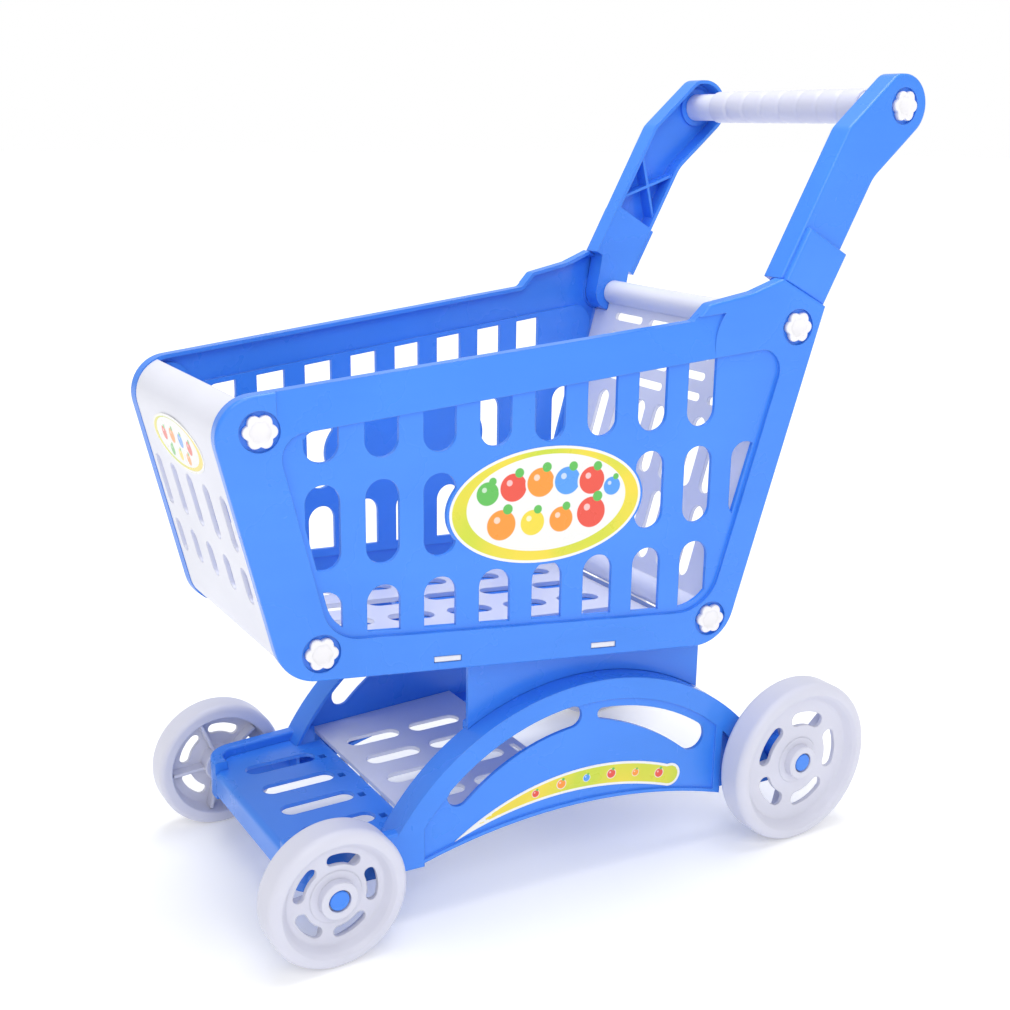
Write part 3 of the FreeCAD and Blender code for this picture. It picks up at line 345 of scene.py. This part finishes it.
def sheet_print(name, across, fruits, oval=None, field=(LIME, YELLOW)):
    """A glossy printed sticker: white edge, lime field, a pale oval and plain round fruit."""
    paint = bpy.data.materials.new(name)
    paint.use_nodes = True
    tree = paint.node_tree
    shader = tree.nodes["Principled BSDF"]
    place = put(tree, "ShaderNodeTexCoord").outputs["Object"]
    flat = flat_place(tree, across)
    wash = spread(tree, grain(tree, place, 22.0, 1.0), 0.40, 0.62)
    colour = blend_colour(tree, wash, *field)
    if oval:
        centre, radius, stretch = oval
        colour = blend_colour(tree, disc(tree, flat, centre, radius, stretch), colour, PRINT_WHITE)
    for centre, radius, ink in fruits:
        leaf = aside(centre, across, LEAF_REACH * radius, radius)
        glint = aside(centre, across, -GLINT_REACH * radius, GLINT_RISE * radius)
        colour = blend_colour(tree, disc(tree, flat, centre, radius * FRUIT_BORDER), colour, PRINT_WHITE)
        colour = blend_colour(tree, disc(tree, flat, centre, radius), colour, ink)
        colour = blend_colour(tree, disc(tree, flat, leaf, radius * LEAF_SIZE), colour, LEAF)
        pale = tuple(0.5 * c + 0.5 for c in ink)
        colour = blend_colour(tree, disc(tree, flat, glint, radius * GLINT_SIZE), colour, pale)
    border = put(tree, "ShaderNodeAttribute", attribute_name="edge").outputs["Fac"]
    colour = blend_colour(tree, spread(tree, border, WHITE_EDGE + PRINT_CRISP, WHITE_EDGE - PRINT_CRISP),
                          colour, PRINT_WHITE)
    feed(tree, shader.inputs["Base Color"], colour)
    rough = spread(tree, grain(tree, place, 35.0, 4.0), 0.3, 0.7, 0.22, 0.36)
    feed(tree, shader.inputs["Roughness"], rough)
    normal = raised(tree, grain(tree, place, 320.0, 3.0), 0.00004, 0.3, None)
    feed(tree, shader.inputs["Normal"], normal)
    shader.inputs["Coat Weight"].default_value = 0.35
    shader.inputs["Coat Roughness"].default_value = 0.12
    return paint


# ---------------------------------------------------------------- turned pieces
def turned_tree(name):
    """A node group that turns a profile about an axis, waves its rim into lobes, and sets one at
    every seat. The profile's points come first in the host mesh, x as radius and z as height; the
    points marked as seats follow, each with its own turn."""
    tree = bpy.data.node_groups.new(name, "GeometryNodeTree")
    face = tree.interface
    face.new_socket("Host", in_out="INPUT", socket_type="NodeSocketGeometry")
    for label, kind in (("Profile Points", "NodeSocketInt"), ("Steps Around", "NodeSocketInt"),
                        ("Lobes", "NodeSocketInt"), ("Lobe Depth", "NodeSocketFloat"),
                        ("Shank Radius", "NodeSocketFloat"), ("Head Radius", "NodeSocketFloat"),
                        ("Finish", "NodeSocketMaterial")):
        face.new_socket(label, in_out="INPUT", socket_type=kind)
    face.new_socket("Pieces", in_out="OUTPUT", socket_type="NodeSocketGeometry")
    given = put(tree, "NodeGroupInput").outputs
    result = put(tree, "NodeGroupOutput").inputs

    grid = put(tree, "GeometryNodeMeshGrid")
    feed(tree, grid.inputs["Vertices X"], calc(tree, "ADD", given["Steps Around"], 1.0))
    feed(tree, grid.inputs["Vertices Y"], given["Profile Points"])
    index = put(tree, "GeometryNodeInputIndex").outputs[0]
    row = calc(tree, "MODULO", index, given["Profile Points"])
    column = calc(tree, "FLOOR", calc(tree, "DIVIDE", calc(tree, "ADD", index, 0.5), given["Profile Points"]))
    angle = calc(tree, "MULTIPLY", calc(tree, "DIVIDE", column, given["Steps Around"]), 2 * math.pi)
    sample = put(tree, "GeometryNodeSampleIndex", data_type="FLOAT_VECTOR", domain="POINT")
    feed(tree, sample.inputs["Geometry"], given["Host"])
    feed(tree, sample.inputs["Value"], put(tree, "GeometryNodeInputPosition").outputs[0])
    feed(tree, sample.inputs["Index"], row)
    profile = put(tree, "ShaderNodeSeparateXYZ")
    feed(tree, profile.inputs[0], sample.outputs[0])
    on_head = spread(tree, profile.outputs["X"], given["Shank Radius"], given["Head Radius"])
    half_turn = calc(tree, "MULTIPLY", calc(tree, "MULTIPLY", angle, 0.5), given["Lobes"])
    petal = calc(tree, "ABSOLUTE", calc(tree, "COSINE", half_turn))
    dip = calc(tree, "MULTIPLY", calc(tree, "SUBTRACT", 1.0, petal),
               calc(tree, "MULTIPLY", on_head, given["Lobe Depth"]))
    radius = calc(tree, "MULTIPLY", profile.outputs["X"], calc(tree, "SUBTRACT", 1.0, dip))
    point = put(tree, "ShaderNodeCombineXYZ")
    feed(tree, point.inputs["X"], calc(tree, "MULTIPLY", radius, calc(tree, "COSINE", angle)))
    feed(tree, point.inputs["Y"], calc(tree, "MULTIPLY", radius, calc(tree, "SINE", angle)))
    feed(tree, point.inputs["Z"], profile.outputs["Z"])
    turned = put(tree, "GeometryNodeSetPosition")
    feed(tree, turned.inputs["Geometry"], grid.outputs["Mesh"])
    feed(tree, turned.inputs["Position"], point.outputs[0])
    closed = put(tree, "GeometryNodeMergeByDistance")
    feed(tree, closed.inputs["Geometry"], turned.outputs[0])
    closed.inputs["Distance"].default_value = MERGE

    marked = put(tree, "GeometryNodeInputNamedAttribute", data_type="FLOAT")
    marked.inputs["Name"].default_value = "seat"
    seats = put(tree, "GeometryNodeSeparateGeometry", domain="POINT")
    feed(tree, seats.inputs["Geometry"], given["Host"])
    feed(tree, seats.inputs["Selection"], calc(tree, "GREATER_THAN", marked.outputs[0], 0.5))
    turn = put(tree, "GeometryNodeInputNamedAttribute", data_type="FLOAT_VECTOR")
    turn.inputs["Name"].default_value = "turn"
    copies = put(tree, "GeometryNodeInstanceOnPoints")
    feed(tree, copies.inputs["Points"], seats.outputs["Selection"])
    feed(tree, copies.inputs["Instance"], closed.outputs[0])
    feed(tree, copies.inputs["Rotation"], turn.outputs[0])
    real = put(tree, "GeometryNodeRealizeInstances")
    feed(tree, real.inputs[0], copies.outputs[0])
    smooth = put(tree, "GeometryNodeSetShadeSmooth")
    feed(tree, smooth.inputs["Geometry"], real.outputs[0])
    finish = put(tree, "GeometryNodeSetMaterial")
    feed(tree, finish.inputs["Geometry"], smooth.outputs[0])
    feed(tree, finish.inputs["Material"], given["Finish"])
    feed(tree, result[0], finish.outputs[0])
    return tree


def turn_pieces(name, tree, profile, seats, finish, node, shank=0.0, head=1.0, lobes=0, depth=0.0):
    """Makes the turned piece at each seat, as one plain mesh that stands for a node."""
    points = [(r, 0.0, h) for r, h in profile] + [tuple(place) for place, axis in seats]
    mesh = bpy.data.meshes.new(name + "_host")
    mesh.from_pydata(points, [], [])
    seat = mesh.attributes.new("seat", "FLOAT", "POINT")
    turn = mesh.attributes.new("turn", "FLOAT_VECTOR", "POINT")
    for i, (place, axis) in enumerate(seats):
        seat.data[len(profile) + i].value = 1.0
        turn.data[len(profile) + i].vector = Vector(axis).to_track_quat("Z", "Y").to_euler()
    host = bpy.data.objects.new(name + "_host", mesh)
    scene.collection.objects.link(host)
    modifier = host.modifiers.new("turned", "NODES")
    modifier.node_group = tree
    values = {"Profile Points": len(profile), "Steps Around": STEPS_AROUND, "Lobes": lobes,
              "Lobe Depth": depth, "Shank Radius": shank, "Head Radius": head, "Finish": finish}
    for item in tree.interface.items_tree:
        if item.in_out == "INPUT" and item.name in values:
            modifier[item.identifier] = values[item.name]
    bpy.context.view_layer.update()
    made = bpy.data.meshes.new_from_object(host.evaluated_get(bpy.context.evaluated_depsgraph_get()))
    host.modifiers.remove(modifier)
    bpy.data.objects.remove(host)
    piece = bpy.data.objects.new(name, made)
    scene.collection.objects.link(piece)
    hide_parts(node)
    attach(piece, FRAME_BODY)
    return piece


def arc(centre, radius, start, end, steps):
    """Profile points along an arc, angles in degrees from the radius direction."""
    turn = [math.radians(start + (end - start) * i / steps) for i in range(steps + 1)]
    return [(centre[0] + radius * math.cos(a), centre[1] + radius * math.sin(a)) for a in turn]


def screw_profile(head_radius, length):
    """The half outline of a screw, from the shank's end to the middle of its dished head."""
    dish = DISH_PART * head_radius
    return ([(0.0, -length), (SHANK_RADIUS - SCREW_CHAMFER, -length)]
            + [(SHANK_RADIUS, -length + SCREW_CHAMFER), (SHANK_RADIUS, 0.0)]
            + [(head_radius - SEAT_EDGE, 0.0), (head_radius, SEAT_EDGE)]
            + arc((head_radius - SCREW_EDGE, HEAD_HEIGHT - SCREW_EDGE), SCREW_EDGE, 0, 90, 6)
            + arc((dish + DISH_LIP, HEAD_HEIGHT - DISH_LIP), DISH_LIP, 90, 150, 4)
            + [(dish - 0.0005, HEAD_HEIGHT - 0.0010), (dish * 0.6, HEAD_HEIGHT - 0.0014)]
            + [(dish * 0.3, HEAD_HEIGHT - 0.0016), (0.0, HEAD_HEIGHT - 0.00165)])


def screw_seats(node, taper):
    """The seat, axis, head radius and length of each screw of a node, read from its mesh."""
    seats = []
    for side in (1, -1):
        axis = Vector((side * math.cos(taper), -math.sin(taper), 0.0))
        across = Vector((side * math.sin(taper), math.cos(taper), 0.0))
        points = [v.co for v in nodes[node].data.vertices if v.co.x * side > 0]
        top = max(p.dot(axis) for p in points)
        head = [p for p in points if p.dot(axis) > top - HEAD_HEIGHT / 2]
        along = [p.dot(across) for p in head]
        height = [p.z for p in head]
        middle = (min(along) + max(along)) / 2
        place = axis * (top - HEAD_HEIGHT) + across * middle
        place.z = (min(height) + max(height)) / 2
        seats.append((place, axis))
    reach = (max(height) - min(height)) / 2
    length = top - HEAD_HEIGHT - min(p.dot(axis) for p in points)
    return seats, reach, length


def make_screws(tree, finish):
    for node, taper in (("front_top_screws", SIDE_TAPER), ("front_bottom_screws", SIDE_TAPER),
                        ("rear_top_screws", SIDE_TAPER), ("rear_bottom_screws", SIDE_TAPER),
                        ("handle_screws", 0.0)):
        seats, head, length = screw_seats(node, taper)
        turn_pieces("lobed_" + node, tree, screw_profile(head, length), seats, finish, node,
                    SHANK_RADIUS, head, LOBES, LOBE_DEPTH)


def make_grip(tree, finish):
    low, high = [Vector(v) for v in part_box("handle_grip")]
    bar_low, bar_high = [Vector(v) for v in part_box("handle_bar")]
    middle = (low + high) / 2
    half = (high.x - low.x) / 2
    outer = (high.z - low.z) / 2
    inner = (bar_high.z - bar_low.z) / 2 + BAR_CLEARANCE
    pitch = 2 * half / (GRIP_RINGS + 1)
    profile = [(inner, -half)] + arc((outer - GRIP_EDGE, -half + GRIP_EDGE), GRIP_EDGE, -90, 0, 5)
    for i in range(GRIP_RINGS):
        centre = -half + pitch * (i + 1)
        for step in range(-GROOVE_STEPS, GROOVE_STEPS + 1):
            dip = GRIP_RING_DEPTH * 0.5 * (1 + math.cos(math.pi * step / GROOVE_STEPS))
            profile.append((outer - dip, centre + GRIP_GROOVE_HALF * step / GROOVE_STEPS))
    profile += arc((outer - GRIP_EDGE, half - GRIP_EDGE), GRIP_EDGE, 0, 90, 5)
    profile += [(inner, half), (inner, -half)]
    turn_pieces("ringed_grip", tree, profile, [(middle, (1, 0, 0))], finish, "handle_grip")


# ---------------------------------------------------------------- stickers
def sticker(node, finish):
    """A copy of a label's sheet, cut into small squares that know how far the sheet's edge is."""
    low, high = [Vector(v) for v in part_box(node)]
    work = bmesh.new()
    work.from_mesh(nodes[node].data)
    bmesh.ops.remove_doubles(work, verts=work.verts, dist=MERGE)
    bmesh.ops.dissolve_limit(work, angle_limit=FLAT_ANGLE, verts=work.verts, edges=work.edges)
    rim = []
    for edge in work.edges:
        if len(edge.link_faces) == 2 and edge.calc_face_angle() > RIM_ANGLE:
            first, last = [v.co for v in edge.verts]
            steps = max(1, int((last - first).length / RIM_STEP))
            rim += [first.lerp(last, i / steps) for i in range(steps + 1)]
    near = KDTree(len(rim))
    for i, point in enumerate(rim):
        near.insert(point, i)
    near.balance()
    size = high - low
    depth_axis = min(range(2), key=lambda k: size[k])
    for axis in (1 - depth_axis, 2):
        for i in range(1, int(size[axis] / SHEET_STEP) + 1):
            place = low.copy()
            place[axis] += i * SHEET_STEP
            facing = [0, 0, 0]
            facing[axis] = 1
            bmesh.ops.bisect_plane(work, geom=work.verts[:] + work.edges[:] + work.faces[:],
                                   plane_co=place, plane_no=facing)
    layer = work.verts.layers.float.new("edge")
    for vert in work.verts:
        vert[layer] = near.find(vert.co)[2]
    bmesh.ops.triangulate(work, faces=[f for f in work.faces if len(f.verts) > 4])
    mesh = bpy.data.meshes.new("printed_" + node)
    work.to_mesh(mesh)
    work.free()
    mesh.materials.append(finish)
    piece = bpy.data.objects.new("printed_" + node, mesh)
    scene.collection.objects.link(piece)
    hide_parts(node)
    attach(piece, FRAME_BODY)
    return piece


def oval_fruits(node, across, rows):
    """Fruit set out in rows over an oval label, in parts of its half length and half height."""
    low, high = [Vector(v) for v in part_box(node)]
    middle = (low + high) / 2
    half = (high - low) / 2
    axis = 0 if across == "X" else 1
    placed = []
    for u, v, radius, ink in rows:
        centre = Vector((0, 0, middle.z + v * half.z))
        centre[axis] = middle[axis] + u * half[axis]
        placed.append((tuple(centre), radius * half.z, ink))
    centre = Vector((0, 0, middle.z + OVAL_RISE * half.z))
    centre[axis] = middle[axis]
    stretch = [0.0, 0.0, half[axis] / half.z]
    stretch[axis] = 1.0
    return placed, (tuple(centre), OVAL_PART * half[axis], tuple(stretch))


def arch_fruits(node, count):
    """Small fruit along the middle of a bowed label."""
    low, high = [Vector(v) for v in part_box(node)]
    placed = []
    inks = (RED, ORANGE, SKY, RED, ORANGE)
    for i in range(count):
        y = low.y + (high.y - low.y) * (ARCH_FRUIT_START + ARCH_FRUIT_RUN * i / (count - 1))
        column = [v.co.z for v in nodes[node].data.vertices if abs(v.co.y - y) < ARCH_COLUMN]
        if len(column) > 1:
            middle = (0.0, y, (min(column) + max(column)) / 2)
            radius = ARCH_FRUIT_RADIUS + ARCH_FRUIT_CHANGE * (i % 2)
            placed.append((middle, radius, inks[i % len(inks)]))
    return placed


SIDE_ROWS = ((-0.62, 0.30, 0.20, LEAF), (-0.36, 0.36, 0.24, RED), (-0.08, 0.40, 0.25, ORANGE),
             (0.20, 0.38, 0.24, SKY), (0.46, 0.34, 0.24, RED), (0.68, 0.20, 0.16, SKY),
             (-0.48, -0.26, 0.26, ORANGE), (-0.16, -0.28, 0.22, YELLOW), (0.14, -0.28, 0.22, ORANGE),
             (0.46, -0.22, 0.27, RED))
FRONT_ROWS = ((-0.50, 0.12, 0.26, RED), (-0.16, 0.20, 0.28, ORANGE), (0.18, 0.18, 0.26, SKY),
              (0.50, 0.08, 0.26, RED), (-0.32, -0.42, 0.22, LEAF), (0.02, -0.42, 0.22, YELLOW),
              (0.34, -0.42, 0.22, ORANGE))


def make_stickers():
    for side in ("left", "right"):
        node = "side_label_" + side
        fruits, oval = oval_fruits(node, "Y", SIDE_ROWS)
        sticker(node, sheet_print("fruit_print_side_" + side, "Y", fruits, oval))
        node = "arch_label_" + side
        sticker(node, sheet_print("fruit_print_arch_" + side, "Y", arch_fruits(node, ARCH_FRUIT_COUNT)))
    fruits, oval = oval_fruits("front_label", "X", FRONT_ROWS)
    sticker("front_label", sheet_print("fruit_print_front", "X", fruits, oval))


# ---------------------------------------------------------------- the cart
finishes = {
    "blue_shell": moulded_plastic("blue_gloss_plastic", BLUE, 0.24, scuff=0.10),
    "white_shell": moulded_plastic("white_gloss_plastic", WHITE, 0.28, mottle=0.03, depth_glow=0.08),
    "white_grip": moulded_plastic("soft_grip_plastic", GRIP_WHITE, 0.42, mottle=0.03, peel=0.6,
                                  soften=0.0004),
    "white_wheel": moulded_plastic("white_wheel_plastic", WHEEL_WHITE, 0.36, mottle=0.03, scuff=0.18,
                                   peel=0.5, soften=0.001),
    "white_screw": moulded_plastic("white_screw_plastic", SCREW_WHITE, 0.30, mottle=0.02,
                                   soften=0.0003, peel=0.3)}
for part in record["subparts"]:
    for place in nodes[part["node"]].material_slots:
        place.material = finishes.get(part["material_slot"], finishes["white_shell"])

turned = turned_tree("turned_part")
make_screws(turned, finishes["white_screw"])
make_grip(turned, finishes["white_grip"])
make_stickers()
make_camera()
make_studio()
